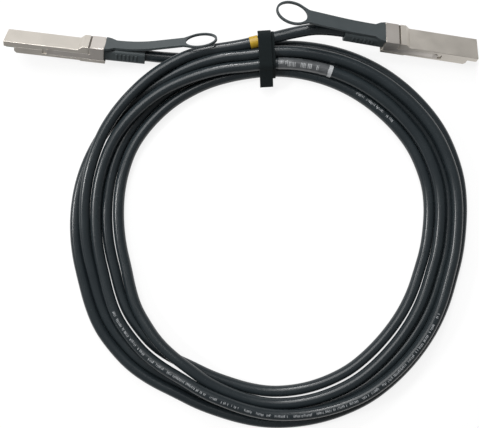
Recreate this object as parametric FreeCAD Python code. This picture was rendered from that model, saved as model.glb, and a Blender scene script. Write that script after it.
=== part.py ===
"""Direct attach copper cable: two latching plugs on one coiled cable.

Each plug is modelled in its own frame: +X along the plug from its rear face to its front lip,
+Y across it and +Z up, with Z = 0 on the underside of the cage section. It is then turned and
set down where it lies. The row frame has Z = 0 on the table, and its origin lies midway
between the two plugs. All sizes are in millimetres.
"""
import FreeCAD, Part
import math
import os
from FreeCAD import Placement, Rotation, Vector

# --- plug housing ---------------------------------------------------------------------------
REAR_LENGTH = 20.0           # rear face to the cage section
CAGE_LENGTH = 52.4           # the part that goes into the cage, hood included
HOUSING_WIDTH = 18.35
HOUSING_HEIGHT = 8.5         # cage section
SIDE_WALL = 1.0
ROOF = 1.0
FLOOR = 1.0
SPLIT_HEIGHT = 4.6           # where the two shells meet
HOOD_OVERHANG = 7.5          # front of the top shell beyond the bottom shell
CREST_HEIGHT = 11.3          # top of the rear section and of the latch band
RAMP_LENGTH = 3.4            # crest down to the height of the cage section
RAMP_SETBACK = 1.0           # foot of the ramp behind the cage section
REAR_WALL = 1.2
REAR_LIP = 1.0               # bottom shell standing out behind the top shell
SOLE_DROP = 0.6              # rear sole below the cage section
SOLE_SETBACK = 3.0           # end of the sole behind the cage section
EDGE_ROUND = 0.35
NOSE_CHAMFER = 1.5           # front underside of the bottom shell
LIP_CHAMFER = 0.5            # lead-in round the hood

# --- sliding latch --------------------------------------------------------------------------
SHEET = 0.4                  # stamped strip
SLIDE_FIT = 0.1              # play between the latch and the shells
LATCH_TRAVEL = 2.5
BAND_START = 0.3             # rear edge of the band, from the rear face
BAND_LENGTH = 9.6
SLOT_LENGTH = 1.5            # open gap in front of the band
LEG_FOOT = 1.7               # lower edge of the legs
ARM_BOTTOM = 1.9
ARM_HEIGHT = 3.8
ARM_REACH = 21.5             # tip of the arms, into the cage section
TIP_LENGTH = 3.5
TIP_FLARE = 0.7
CHANNEL_PLAY = 0.2           # above, below and in front of the arms
CATCH_WINDOW = 3.2           # pocket for the cage's own catch
LUG_WIDTH = 1.2
TONGUE_LENGTH = 6.0
TONGUE_WIDTH = 10.0

# --- return springs -------------------------------------------------------------------------
SPRING_RADIUS = 1.0          # to the middle of the wire
SPRING_WIRE = 0.3
SPRING_TURNS = 6
SPRING_STEPS = 8             # straight lengths in a turn
SPRING_SIDES = 6             # the wire is a six-sided bar
SPRING_PLAY = 0.05

# --- pull tab -------------------------------------------------------------------------------
TAB_THICKNESS = 1.7
TAB_COVER = 0.4              # tab above the latch tongue
TAB_GAP = 0.3                # behind the rear face
TAB_LENGTH = 84.0            # rear face to the end of the finger loop
HEAD_LENGTH = 8.0
HEAD_WIDTH = 17.8
STRAP_WIDTH = 11.2
LOOP_LENGTH = 25.0
LOOP_WIDTH = 20.0
LOOP_RIM = 1.7
BEND_LENGTH = 30.0           # along the strap, while it turns upwards

# --- cable, boot and what the plug holds ----------------------------------------------------
CABLE_DIAMETER = 8.5
AXIS_HEIGHT = 4.9            # cable axis above the cage section's underside
BOOT_LENGTH = 30.0
BOOT_FRONT_WIDTH = 13.6
BOOT_END_WIDTH = 12.2
BOOT_CORNER = 2.6
BOOT_CLEARANCE = 0.3         # under the pull tab
RIB_COUNT = 6
RIB_PITCH = 2.9
RIB_WIDTH = 1.2
RIB_HEIGHT = 4.2
RIB_RISE = 0.45
RIB_START = 8.5              # first rib, behind the rear face
FERRULE_LENGTH = 7.3
FERRULE_WALL = 0.75
CARD_THICKNESS = 1.0
CARD_PLAY = 0.08
CARD_SETBACK = 1.4           # card edge behind the front lip
CARD_INSET = 9.0             # rear edge of the card, into the cage section
PAD_COUNT = 19
PAD_PITCH = 0.8
PAD_WIDTH = 0.54
PAD_LENGTH = 2.4
PAD_THICKNESS = 0.06
PAD_SETBACK = 0.35
LEDGE_LENGTH = 2.0
LEDGE_WIDTH = 1.7
LEDGE_INSET = 9.0            # first pair of ledges, from the card's rear edge
LEDGE_SETBACK = 4.9          # second pair, behind the front of the bottom shell
CHIP_LENGTH = 5.0
CHIP_WIDTH = 4.0
CHIP_HEIGHT = 1.0
CHIP_INSET = 17.0            # from the card's rear edge
PAIR_DIAMETER = 1.5
PAIR_PITCH = 2.2
PAIRS_PER_SIDE = 4
PAIR_SIDES = 8               # a pair is an eight-sided bar
PAIR_LAP = 2.0               # length of a pair that lies on the card
TUNNEL_WIDTH = 11.0          # cavity behind the cage section
SCREW_INSET = 2.6            # in front of the latch slot
SCREW_OFFSET = 7.1
SCREW_RADIUS = 0.7
SCREW_HEAD_RADIUS = 1.25
SCREW_HEAD_DEPTH = 0.7
SCREW_LENGTH = 6.0

# --- how the plugs lie: place of the rear end of the cable axis, then turn about Z, Y and X --
LEFT_PLUG = {"place": (-104.0, -10.7, 10.6), "yaw": 174.5, "pitch": -6.0, "roll": 47.5, "tab_lift": 14.5}
RIGHT_PLUG = {"place": (103.5, -2.0, 15.5), "yaw": -7.0, "pitch": 6.5, "roll": -25.0, "tab_lift": 6.0}

# --- coil and free ends ---------------------------------------------------------------------
LEFT_EXIT = 20.0             # straight run behind each boot
RIGHT_EXIT = 17.0
COIL_HEIGHT = 17.0
COIL_RADIUS = 147.5          # outside
COIL_CENTRE = (19.0, -144.5)
BUNDLE_LEFT = 37.5           # width of the bundle where it lies loosest
BUNDLE_RIGHT = 29.5
BUNDLE_TOP = 34.0            # under the tie
COIL_BEVEL = 5.8
LEFT_TAIL = [(-33.5, -15.2, 4.9), (-14.5, -12.5, 4.9)]
RIGHT_TAIL = [(40.5, 1.8, 18.3), (25.0, -1.2, 15.2), (9.0, -4.6, 13.2), (-6.5, -8.0, 12.7)]

# --- what is on the coil --------------------------------------------------------------------
TIE_PLACE = 17.0             # along X
TIE_WIDTH = 10.4
TIE_THICKNESS = 1.3
TIE_PLAY = 0.1
TIE_LEAN = 3.5               # turned about Z
TIE_HEADROOM = 2.2           # over the coil, where the right-hand tail lies on it
TIE_TAIL = 7.0
TIE_ROUND = 4.2              # where the tie turns over the bundle
MARKER_PLACE = 8.5           # along X
MARKER_LENGTH = 6.0
MARKER_WALL = 0.35
LABEL_PLACE = (50.3, -21.5, 13.0)
LABEL_LENGTH = 37.0
LABEL_WALL = 0.2
LABEL_TURN = -13.0

# --- sizes that follow from the ones above --------------------------------------------------
HALF_WIDTH = HOUSING_WIDTH / 2
HOUSING_LENGTH = REAR_LENGTH + CAGE_LENGTH
CAVITY_HALF = HALF_WIDTH - SIDE_WALL
BOTTOM_FRONT = HOUSING_LENGTH - HOOD_OVERHANG
BAND_END = BAND_START + BAND_LENGTH
SLOT_FRONT = BAND_END + SLOT_LENGTH
RAMP_END = REAR_LENGTH - RAMP_SETBACK
RAMP_START = RAMP_END - RAMP_LENGTH
LEG_OUTER = HALF_WIDTH - SLIDE_FIT / 2
LEG_INNER = LEG_OUTER - SHEET
SADDLE_HALF = LEG_INNER - SLIDE_FIT
SADDLE_TOP = CREST_HEIGHT - SHEET - SLIDE_FIT
ARM_END = REAR_LENGTH + ARM_REACH
ARM_TOP = ARM_BOTTOM + ARM_HEIGHT
CHANNEL_FRONT = ARM_END + CHANNEL_PLAY
LUG_REAR = BAND_END - 1.5 * SHEET
TAB_TOP = CREST_HEIGHT + TAB_COVER
TAB_UNDERSIDE = TAB_TOP - TAB_THICKNESS
CABLE_RADIUS = CABLE_DIAMETER / 2
BOOT_TOP = TAB_UNDERSIDE - BOOT_CLEARANCE
BOOT_HALF_HEIGHT = BOOT_TOP - AXIS_HEIGHT
FERRULE_RADIUS = CABLE_RADIUS + FERRULE_WALL
FERRULE_FRONT = REAR_WALL + FERRULE_LENGTH
SPRING_POCKET = 2 * SPRING_RADIUS + SPRING_WIRE + 4 * SLIDE_FIT
SPRING_HEIGHT = SPLIT_HEIGHT + SPRING_POCKET / 2
SPRING_OFFSET = FERRULE_RADIUS + 4 * SLIDE_FIT + SPRING_POCKET / 2
CARD_TOP = SPLIT_HEIGHT
CARD_UNDERSIDE = CARD_TOP - CARD_THICKNESS
CARD_HALF = CAVITY_HALF - CARD_PLAY
CARD_FRONT = HOUSING_LENGTH - CARD_SETBACK
CARD_REAR = REAR_LENGTH + CARD_INSET
CAVITY_TOP = HOUSING_HEIGHT - ROOF
COIL_HOLE_RADIUS = COIL_RADIUS - (BUNDLE_LEFT + BUNDLE_RIGHT) / 2
COIL_TOP = COIL_CENTRE[1] + COIL_RADIUS
COIL_HOLE_TOP = COIL_TOP - BUNDLE_TOP
COIL_HOLE_CENTRE = (COIL_CENTRE[0] + (BUNDLE_LEFT - BUNDLE_RIGHT) / 2, COIL_HOLE_TOP - COIL_HOLE_RADIUS)


def box(x, y, z):
    """A block between the given (low, high) pairs."""
    size = [high - low for low, high in (x, y, z)]
    return Part.makeBox(*size, Vector(x[0], y[0], z[0]))


def prism(points, direction):
    """The closed polygon through the points, pushed along a vector."""
    corners = [Vector(*p) for p in points]
    return Part.Face(Part.makePolygon(corners + corners[:1])).extrude(Vector(*direction))


def across(outline, half):
    """A side outline of (x, z) points, pushed across the plug to both sides."""
    return prism([(x, -half, z) for x, z in outline], (0, 2 * half, 0))


def both_sides(shape):
    """A shape and its mirror image across the plug's middle plane."""
    return [shape, shape.mirror(Vector(0, 0, 0), Vector(0, 1, 0))]


def rod(radius, start, end):
    """A round bar between two points."""
    run = Vector(*end) - Vector(*start)
    return Part.makeCylinder(radius, run.Length, Vector(*start), run)


def along_plug(radius, start, end):
    """A round bar on the cable axis, between two stations along the plug."""
    return rod(radius, (start, 0, AXIS_HEIGHT), (end, 0, AXIS_HEIGHT))


def long_edges(shape, height):
    """The edges that run along the plug above a height."""
    found = []
    for edge in shape.Edges:
        ends = [v.Point for v in edge.Vertexes]
        along = abs(ends[0].x - ends[1].x) > abs(ends[0].y - ends[1].y)
        if along and min(p.z for p in ends) > height and edge.Length > RAMP_LENGTH / 2:
            found.append(edge)
    return found


def latch_channels():
    """Room on both flanks for the latch: beside the legs, and along the arms to their tips."""
    reach = HALF_WIDTH + TIP_FLARE
    beside_legs = box((-REAR_LIP, SLOT_FRONT), (SADDLE_HALF, reach), (LEG_FOOT - CHANNEL_PLAY, CREST_HEIGHT))
    along_arms = box((0, CHANNEL_FRONT), (SADDLE_HALF, reach), (ARM_BOTTOM - CHANNEL_PLAY, ARM_TOP + CHANNEL_PLAY))
    window = box((CHANNEL_FRONT, CHANNEL_FRONT + CATCH_WINDOW), (CAVITY_HALF, reach), (ARM_BOTTOM, ARM_TOP))
    return both_sides(beside_legs) + both_sides(along_arms) + both_sides(window)


def screw(side):
    """One countersunk screw, from the sole up into the top shell."""
    foot = Vector(SLOT_FRONT + SCREW_INSET, side * SCREW_OFFSET, -SOLE_DROP)
    head = Part.makeCone(SCREW_HEAD_RADIUS, SCREW_RADIUS, SCREW_HEAD_DEPTH, foot)
    return head.fuse(Part.makeCylinder(SCREW_RADIUS, SCREW_LENGTH, foot)).removeSplitter()


def top_shell():
    """Die-cast upper half: rear crest with the latch saddle, ramp, cage section and hood."""
    outline = [(0, SPLIT_HEIGHT), (0, SADDLE_TOP), (SLOT_FRONT, SADDLE_TOP), (SLOT_FRONT, CREST_HEIGHT),
               (RAMP_START, CREST_HEIGHT), (RAMP_END, HOUSING_HEIGHT), (HOUSING_LENGTH - LIP_CHAMFER, HOUSING_HEIGHT),
               (HOUSING_LENGTH, HOUSING_HEIGHT - LIP_CHAMFER), (HOUSING_LENGTH, SPLIT_HEIGHT)]
    shell = across(outline, HALF_WIDTH)
    shell = shell.makeFillet(EDGE_ROUND, long_edges(shell, HOUSING_HEIGHT - LIP_CHAMFER / 2))
    lead_in = prism([(HOUSING_LENGTH - LIP_CHAMFER, HALF_WIDTH, 0), (HOUSING_LENGTH, HALF_WIDTH - LIP_CHAMFER, 0),
                     (HOUSING_LENGTH, HALF_WIDTH, 0)], (0, 0, HOUSING_HEIGHT))
    spring_pocket = box((REAR_WALL, BAND_END),
                        (SPRING_OFFSET - SPRING_POCKET / 2, SPRING_OFFSET + SPRING_POCKET / 2),
                        (SPLIT_HEIGHT, SPLIT_HEIGHT + SPRING_POCKET))
    lug_slot = box((LUG_REAR - LATCH_TRAVEL - CHANNEL_PLAY, BAND_END), (SPRING_OFFSET, HALF_WIDTH),
                   (SPRING_HEIGHT - LUG_WIDTH / 2 - SLIDE_FIT, SPRING_HEIGHT + LUG_WIDTH / 2 + SLIDE_FIT))
    rooms = [box((FERRULE_FRONT, HOUSING_LENGTH), (-TUNNEL_WIDTH / 2, TUNNEL_WIDTH / 2), (SPLIT_HEIGHT, CAVITY_TOP)),
             box((REAR_LENGTH, HOUSING_LENGTH), (-CAVITY_HALF, CAVITY_HALF), (SPLIT_HEIGHT, CAVITY_TOP)),
             along_plug(CABLE_RADIUS, 0, REAR_WALL), along_plug(FERRULE_RADIUS, REAR_WALL, FERRULE_FRONT)]
    cuts = rooms + latch_channels() + both_sides(lead_in) + both_sides(spring_pocket) + both_sides(lug_slot)
    shell = shell.cut(cuts + [screw(-1), screw(1)])
    return shell.fuse(card_ledges(CARD_TOP, CAVITY_TOP)).removeSplitter()


def bottom_shell():
    """Die-cast lower half: thicker rear sole, rear lip, and a floor that stops short of the hood."""
    sole_end = REAR_LENGTH - SOLE_SETBACK
    outline = [(-REAR_LIP, -SOLE_DROP), (sole_end, -SOLE_DROP), (sole_end + SOLE_DROP, 0), (BOTTOM_FRONT - NOSE_CHAMFER, 0),
               (BOTTOM_FRONT, NOSE_CHAMFER), (BOTTOM_FRONT, SPLIT_HEIGHT), (-REAR_LIP, SPLIT_HEIGHT)]
    shell = across(outline, HALF_WIDTH)
    rooms = [box((FERRULE_FRONT, BOTTOM_FRONT), (-TUNNEL_WIDTH / 2, TUNNEL_WIDTH / 2), (FLOOR, SPLIT_HEIGHT)),
             box((REAR_LENGTH, BOTTOM_FRONT), (-CAVITY_HALF, CAVITY_HALF), (FLOOR, SPLIT_HEIGHT)),
             box((-REAR_LIP, 0), (-SADDLE_HALF, SADDLE_HALF), (AXIS_HEIGHT - BOOT_HALF_HEIGHT - SLIDE_FIT, SPLIT_HEIGHT)),
             along_plug(CABLE_RADIUS, 0, REAR_WALL), along_plug(FERRULE_RADIUS, REAR_WALL, FERRULE_FRONT)]
    shell = shell.cut(rooms + latch_channels() + [screw(-1), screw(1)])
    return shell.fuse(card_ledges(FLOOR, CARD_UNDERSIDE)).removeSplitter()


def card_ledges(low, high):
    """Blocks at both edges of the card that clamp it between the shells."""
    ledges = []
    for station in (CARD_REAR + LEDGE_INSET, BOTTOM_FRONT - LEDGE_SETBACK):
        ledge = box((station, station + LEDGE_LENGTH), (CAVITY_HALF - LEDGE_WIDTH, CAVITY_HALF), (low, high))
        ledges += both_sides(ledge)
    return ledges


def shell_screws():
    """The two screws that hold the shells together."""
    return Part.Compound([screw(-1), screw(1)])


def latch_slider():
    """Stamped strip: band over the crest, two legs, two arms with flared tips, lugs and a tongue."""
    band = box((BAND_START, BAND_END), (-LEG_OUTER, LEG_OUTER), (LEG_FOOT, CREST_HEIGHT))
    band = band.makeFillet(EDGE_ROUND, long_edges(band, CREST_HEIGHT - SHEET))
    inside = box((BAND_START, BAND_END), (-LEG_INNER, LEG_INNER), (LEG_FOOT, CREST_HEIGHT - SHEET))
    tip_start = ARM_END - TIP_LENGTH
    arm = prism([(BAND_END - SHEET, LEG_INNER, ARM_BOTTOM), (tip_start, LEG_INNER, ARM_BOTTOM),
                 (ARM_END, LEG_INNER + TIP_FLARE, ARM_BOTTOM), (ARM_END, LEG_OUTER + TIP_FLARE, ARM_BOTTOM),
                 (tip_start, LEG_OUTER, ARM_BOTTOM), (BAND_END - SHEET, LEG_OUTER, ARM_BOTTOM)], (0, 0, ARM_HEIGHT))
    lug = box((LUG_REAR, LUG_REAR + SHEET), (SPRING_OFFSET - SPRING_RADIUS, LEG_INNER),
              (SPRING_HEIGHT - LUG_WIDTH / 2, SPRING_HEIGHT + LUG_WIDTH / 2))
    return band.cut(inside).fuse(both_sides(arm) + both_sides(lug) + [tongue()]).removeSplitter()


def tongue():
    """The strip's rear tongue, which the pull tab is moulded round."""
    return box((-TONGUE_LENGTH, BAND_START), (-TONGUE_WIDTH / 2, TONGUE_WIDTH / 2), (CREST_HEIGHT - SHEET, CREST_HEIGHT))


def return_springs():
    """Two compression springs, from the rear wall to the latch lugs."""
    start = REAR_WALL + SPRING_PLAY + SPRING_WIRE / 2
    length = LUG_REAR - SPRING_PLAY - SPRING_WIRE / 2 - start
    steps = SPRING_TURNS * SPRING_STEPS
    points = []
    for index in range(steps + 1):
        angle = 2 * math.pi * index / SPRING_STEPS
        points.append(Vector(start + length * index / steps, SPRING_OFFSET + SPRING_RADIUS * math.cos(angle),
                             SPRING_HEIGHT + SPRING_RADIUS * math.sin(angle)))
    section = regular_outline(SPRING_SIDES, SPRING_WIRE / 2, points[0], points[1] - points[0])
    mitred = 1
    spring = Part.makePolygon(points).makePipeShell([section], True, False, mitred)
    return Part.Compound(both_sides(spring))


def regular_outline(sides, radius, centre, normal):
    """A regular polygon about a centre, square to a direction."""
    circle = Part.makeCircle(radius, centre, normal)
    corners = circle.discretize(sides + 1)
    return Part.makePolygon(corners)


def tab_side(lift):
    """Side face of the pull tab: level head, a gentle upward bend, then a straight strap."""
    turn = math.radians(lift)
    radius = BEND_LENGTH / turn
    straight = TAB_LENGTH - HEAD_LENGTH - BEND_LENGTH
    centre = TAB_UNDERSIDE + radius

    def at(reach, angle, out=0.0):
        x = -HEAD_LENGTH - reach * math.sin(angle) - out * math.cos(angle)
        return Vector(x, 0, centre - reach * math.cos(angle) + out * math.sin(angle))

    inner = radius - TAB_THICKNESS
    edges = [Part.LineSegment(Vector(-TAB_GAP, 0, TAB_UNDERSIDE), at(radius, 0)),
             Part.Arc(at(radius, 0), at(radius, turn / 2), at(radius, turn)),
             Part.LineSegment(at(radius, turn), at(radius, turn, straight)),
             Part.LineSegment(at(radius, turn, straight), at(inner, turn, straight)),
             Part.LineSegment(at(inner, turn, straight), at(inner, turn)),
             Part.Arc(at(inner, turn), at(inner, turn / 2), at(inner, 0)),
             Part.LineSegment(at(inner, 0), Vector(-TAB_GAP, 0, TAB_TOP)),
             Part.LineSegment(Vector(-TAB_GAP, 0, TAB_TOP), Vector(-TAB_GAP, 0, TAB_UNDERSIDE))]
    return Part.Face(Part.Wire([edge.toShape() for edge in edges]))


def tab_plan(height):
    """Plan of the pull tab, pushed up: flared head, strap, and an egg-shaped finger loop."""
    loop_middle = -TAB_LENGTH + LOOP_LENGTH / 2
    neck = loop_middle + LOOP_LENGTH / 2
    shoulder = loop_middle + LOOP_LENGTH * 0.18
    half = STRAP_WIDTH / 2
    up = Vector(0, 0, height)
    sides = [(-TAB_GAP, HEAD_WIDTH / 2), (-HEAD_LENGTH / 2, (HEAD_WIDTH + STRAP_WIDTH) / 4 + half * 0.12),
             (-HEAD_LENGTH, half), (neck, half), (shoulder, LOOP_WIDTH * 0.466)]
    outline = [(x, y, 0) for x, y in sides] + [(x, -y, 0) for x, y in reversed(sides)]
    strap = prism(outline, (0, 0, height))
    centre = Vector(loop_middle, 0, 0)

    def oval(long_half, wide_half):
        ring = Part.Ellipse(centre, long_half, wide_half).toShape()
        return Part.Face(Part.Wire(ring)).extrude(up)

    loop = oval(LOOP_LENGTH / 2, LOOP_WIDTH / 2)
    hole = oval(LOOP_LENGTH / 2 - LOOP_RIM, LOOP_WIDTH / 2 - LOOP_RIM)
    return strap.fuse(loop).cut(hole)


def pull_tab(lift):
    """Moulded pull tab, cut from a bent strip by its plan, with a seat for the latch tongue."""
    strip = tab_side(lift).extrude(Vector(0, LOOP_WIDTH, 0))
    strip.translate(Vector(0, -LOOP_WIDTH / 2, 0))
    return strip.common(tab_plan(TAB_LENGTH)).cut(tongue()).removeSplitter()


def boot():
    """Moulded strain relief: a rounded bar that narrows to its end, with raised bars on both flanks."""
    front = rounded_section(0, BOOT_FRONT_WIDTH, 2 * BOOT_HALF_HEIGHT, BOOT_CORNER)
    end = rounded_section(-BOOT_LENGTH, BOOT_END_WIDTH, 2 * BOOT_HALF_HEIGHT, BOOT_CORNER)
    body = Part.makeLoft([front, end], True, True)
    bars = []
    for index in range(RIB_COUNT):
        station = -RIB_START - index * RIB_PITCH
        taper = (BOOT_FRONT_WIDTH - BOOT_END_WIDTH) * station / BOOT_LENGTH
        reach = (BOOT_FRONT_WIDTH + taper) / 2 + RIB_RISE
        bars.append(box((station - RIB_WIDTH, station), (-reach, reach),
                        (AXIS_HEIGHT - RIB_HEIGHT / 2, AXIS_HEIGHT + RIB_HEIGHT / 2)))
    return body.fuse(bars).cut(along_plug(CABLE_RADIUS, -BOOT_LENGTH, 0)).removeSplitter()


def rounded_section(station, width, height, corner):
    """A rounded rectangle across the plug, centred on the cable axis."""
    y, z = width / 2, height / 2
    slant = corner * (1 - math.sqrt(0.5))
    edges = []
    for turn in range(4):
        angle = turn * 90
        across_half, up_half = (y, z) if turn % 2 == 0 else (z, y)
        corner_points = [(across_half, up_half - corner), (across_half - slant, up_half - slant),
                         (across_half - corner, up_half), (-across_half + corner, up_half)]
        points = [Rotation(Vector(1, 0, 0), angle).multVec(Vector(0, a, b)) for a, b in corner_points]
        points = [p + Vector(station, 0, AXIS_HEIGHT) for p in points]
        edges.append(Part.Arc(*points[:3]).toShape())
        edges.append(Part.LineSegment(points[2], points[3]).toShape())
    return Part.Wire(edges)


def crimp_ferrule():
    """Brass ring that grips the jacket between the shells."""
    ring = along_plug(FERRULE_RADIUS, REAR_WALL, FERRULE_FRONT)
    return ring.cut(along_plug(CABLE_RADIUS, REAR_WALL, FERRULE_FRONT))


def cable_entry():
    """The cable inside the boot and the ferrule."""
    return along_plug(CABLE_RADIUS, -BOOT_LENGTH, FERRULE_FRONT)


def paddle_card():
    """Circuit card with a bevelled contact edge."""
    bevel = CARD_THICKNESS / 4
    outline = [(CARD_REAR, CARD_UNDERSIDE), (CARD_FRONT - bevel, CARD_UNDERSIDE), (CARD_FRONT, CARD_UNDERSIDE + bevel),
               (CARD_FRONT, CARD_TOP - bevel), (CARD_FRONT - bevel, CARD_TOP), (CARD_REAR, CARD_TOP)]
    return across(outline, CARD_HALF)


def contact_pads():
    """Gold contacts on both faces of the card's front edge."""
    pads = []
    front = CARD_FRONT - PAD_SETBACK
    for index in range(PAD_COUNT):
        middle = (index - (PAD_COUNT - 1) / 2) * PAD_PITCH
        for low in (CARD_TOP, CARD_UNDERSIDE - PAD_THICKNESS):
            pads.append(box((front - PAD_LENGTH, front), (middle - PAD_WIDTH / 2, middle + PAD_WIDTH / 2),
                            (low, low + PAD_THICKNESS)))
    return Part.Compound(pads)


def memory_chip():
    """Identification memory on top of the card."""
    rear = CARD_REAR + CHIP_INSET
    return box((rear, rear + CHIP_LENGTH), (-CHIP_WIDTH / 2, CHIP_WIDTH / 2), (CARD_TOP, CARD_TOP + CHIP_HEIGHT))


def wire_pairs():
    """Shielded pairs from the end of the jacket to both faces of the card."""
    pairs = []
    for index in range(PAIRS_PER_SIDE):
        y = (index - (PAIRS_PER_SIDE - 1) / 2) * PAIR_PITCH
        for z in (CARD_TOP + PAIR_DIAMETER / 2, CARD_UNDERSIDE - PAIR_DIAMETER / 2):
            outline = regular_outline(PAIR_SIDES, PAIR_DIAMETER / 2, Vector(FERRULE_FRONT, y, z), Vector(1, 0, 0))
            pairs.append(Part.Face(outline).extrude(Vector(CARD_REAR + PAIR_LAP - FERRULE_FRONT, 0, 0)))
    return Part.Compound(pairs)


def plug_placement(plug):
    """Where a plug lies: its cable axis end goes to the stated place."""
    turn = Rotation(plug["yaw"], plug["pitch"], plug["roll"])
    return Placement(Vector(*plug["place"]) - turn.multVec(Vector(0, 0, AXIS_HEIGHT)), turn)


def plug_pieces(plug):
    """All the pieces of one plug, in place."""
    pieces = {"top_shell": top_shell(), "bottom_shell": bottom_shell(), "shell_screws": shell_screws(),
              "latch_slider": latch_slider(), "latch_springs": return_springs(),
              "pull_tab": pull_tab(plug["tab_lift"]), "boot": boot(), "crimp_ferrule": crimp_ferrule(),
              "cable_entry": cable_entry(), "paddle_card": paddle_card(), "contact_pads": contact_pads(),
              "memory_chip": memory_chip(), "wire_pairs": wire_pairs()}
    for shape in pieces.values():
        shape.Placement = plug_placement(plug).multiply(shape.Placement)
    return pieces


def cable_tail(plug, exit_run, route):
    """Free cable from the boot's end: straight runs joined by the largest tangent arcs that fit."""
    placement = plug_placement(plug)
    exits = [placement.multVec(Vector(-BOOT_LENGTH - run, 0, AXIS_HEIGHT)) for run in (0, exit_run)]
    points = exits + [Vector(*p) for p in route]
    start = points[0]
    edges, here, total = [], points[0], 0.0
    for before, corner, after in zip(points, points[1:], points[2:]):
        back, ahead = (before - corner), (after - corner)
        half_turn = (math.pi - back.getAngle(ahead)) / 2
        reach = 0.45 * min(back.Length, ahead.Length)
        radius = reach / math.tan(half_turn)
        inward = (back.normalize() + ahead.normalize()).normalize()
        middle = corner + inward * (radius / math.cos(half_turn) - radius)
        arc_start, arc_end = corner + back * reach, corner + ahead * reach
        edges.append(Part.LineSegment(here, arc_start).toShape())
        edges.append(Part.Arc(arc_start, middle, arc_end).toShape())
        total += (arc_start - here).Length + 2 * radius * half_turn
        here = arc_end
        print("  bend radius %.0f mm, turn %.0f degrees" % (radius, math.degrees(2 * half_turn)))
    edges.append(Part.LineSegment(here, points[-1]).toShape())
    total += (points[-1] - here).Length
    print("  starts", [round(c, 1) for c in start], "first corner", [round(c, 1) for c in points[1]])
    section = Part.Wire(Part.makeCircle(CABLE_RADIUS, start, points[1] - start))
    tube = Part.Wire(edges).makePipeShell([section], True, True)
    expected = math.pi * CABLE_RADIUS ** 2 * total
    print("  length %.1f mm, volume %.4f of section x length" % (total, tube.Volume / expected))
    return tube


def coil():
    """Outer shape of the tied coil, wider on one side, with the tie's seat under it."""
    disc = Part.makeCylinder(COIL_RADIUS, COIL_HEIGHT, Vector(*COIL_CENTRE, 0))
    disc = disc.makeChamfer(COIL_BEVEL, [edge for edge in disc.Edges if edge.Closed])
    centre = Vector(*COIL_HOLE_CENTRE, 0)
    flared = COIL_HOLE_RADIUS + COIL_BEVEL
    hole = [Part.makeCylinder(COIL_HOLE_RADIUS, COIL_HEIGHT, centre),
            Part.makeCone(flared, COIL_HOLE_RADIUS, COIL_BEVEL, centre),
            Part.makeCone(COIL_HOLE_RADIUS, flared, COIL_BEVEL, centre + Vector(0, 0, COIL_HEIGHT - COIL_BEVEL))]
    return disc.cut(hole + [tie_frame(0)]).removeSplitter()


def tie_frame(tail):
    """The tie as a flat loop round the bundle, with a free tail of the given length inside it."""
    outer = COIL_TOP + TIE_PLAY
    inner = COIL_HOLE_TOP - 4 * TIE_PLAY
    low, high = -TIE_WIDTH / 2, TIE_WIDTH / 2
    hull = box((low, high), (inner - TIE_THICKNESS, outer + TIE_THICKNESS), (0, COIL_HEIGHT + TIE_HEADROOM + TIE_THICKNESS))
    corners = [edge for edge in hull.Edges if abs(edge.tangentAt(0).x) > 0.99]
    hull = hull.makeFillet(TIE_ROUND, corners)
    window = box((low, high), (inner, outer), (TIE_THICKNESS, COIL_HEIGHT + TIE_HEADROOM))
    frame = hull.cut(window)
    if tail:
        middle = COIL_HEIGHT / 2
        flap = box((low, high), (inner - TIE_THICKNESS - tail, inner - TIE_THICKNESS / 2), (middle, middle + TIE_THICKNESS))
        frame = frame.fuse(flap).removeSplitter()
    frame.rotate(Vector(0, (inner + outer) / 2, 0), Vector(0, 0, 1), TIE_LEAN)
    frame.translate(Vector(TIE_PLACE, 0, 0))
    return frame


def sleeve(inner_radius, wall, middle, direction, length):
    """A thin ring round a length of cable."""
    way = Vector(*direction).normalize()
    start = Vector(*middle) - way * (length / 2)
    outer = Part.makeCylinder(inner_radius + wall, length, start, way)
    return outer.cut(Part.makeCylinder(inner_radius, length, start, way))


def marker_band():
    """Coloured ring on the right-hand tail, beside the tie."""
    near, far = Vector(*RIGHT_TAIL[-2]), Vector(*RIGHT_TAIL[-1])
    share = (near.x - MARKER_PLACE) / (near.x - far.x)
    return sleeve(CABLE_RADIUS, MARKER_WALL, near + (far - near) * share, far - near, MARKER_LENGTH)


def wrap_label():
    """Blank label wrapped round a turn on top of the coil."""
    turn = math.radians(LABEL_TURN)
    return sleeve(CABLE_RADIUS, LABEL_WALL, LABEL_PLACE, (math.cos(turn), math.sin(turn), 0), LABEL_LENGTH)


def main():
    """Build every piece and write one STEP file for each."""
    nodes = {}
    for side, plug, exit_run, route in (("left", LEFT_PLUG, LEFT_EXIT, LEFT_TAIL),
                                        ("right", RIGHT_PLUG, RIGHT_EXIT, RIGHT_TAIL)):
        nodes.update({"%s_%s" % (side, name): shape for name, shape in plug_pieces(plug).items()})
        print("%s tail" % side)
        nodes["%s_cable_tail" % side] = cable_tail(plug, exit_run, route)
    nodes["coil"] = coil()
    nodes["hook_and_loop_tie"] = tie_frame(TIE_TAIL)
    nodes["marker_band"] = marker_band()
    nodes["wrap_label"] = wrap_label()
    os.makedirs("parts", exist_ok=True)
    for name, shape in nodes.items():
        if not shape.isValid():
            print("not valid:", name)
        shape.exportStep("parts/%s.step" % name)
    print("%d nodes written" % len(nodes))


main()
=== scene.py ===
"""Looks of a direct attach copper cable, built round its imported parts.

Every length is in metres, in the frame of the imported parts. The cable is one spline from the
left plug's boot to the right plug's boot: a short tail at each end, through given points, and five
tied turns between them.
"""

import logging
import math
from dataclasses import dataclass, field
from enum import Enum

import bmesh
import bpy
import numpy as np
from mathutils import Matrix, Vector


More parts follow.
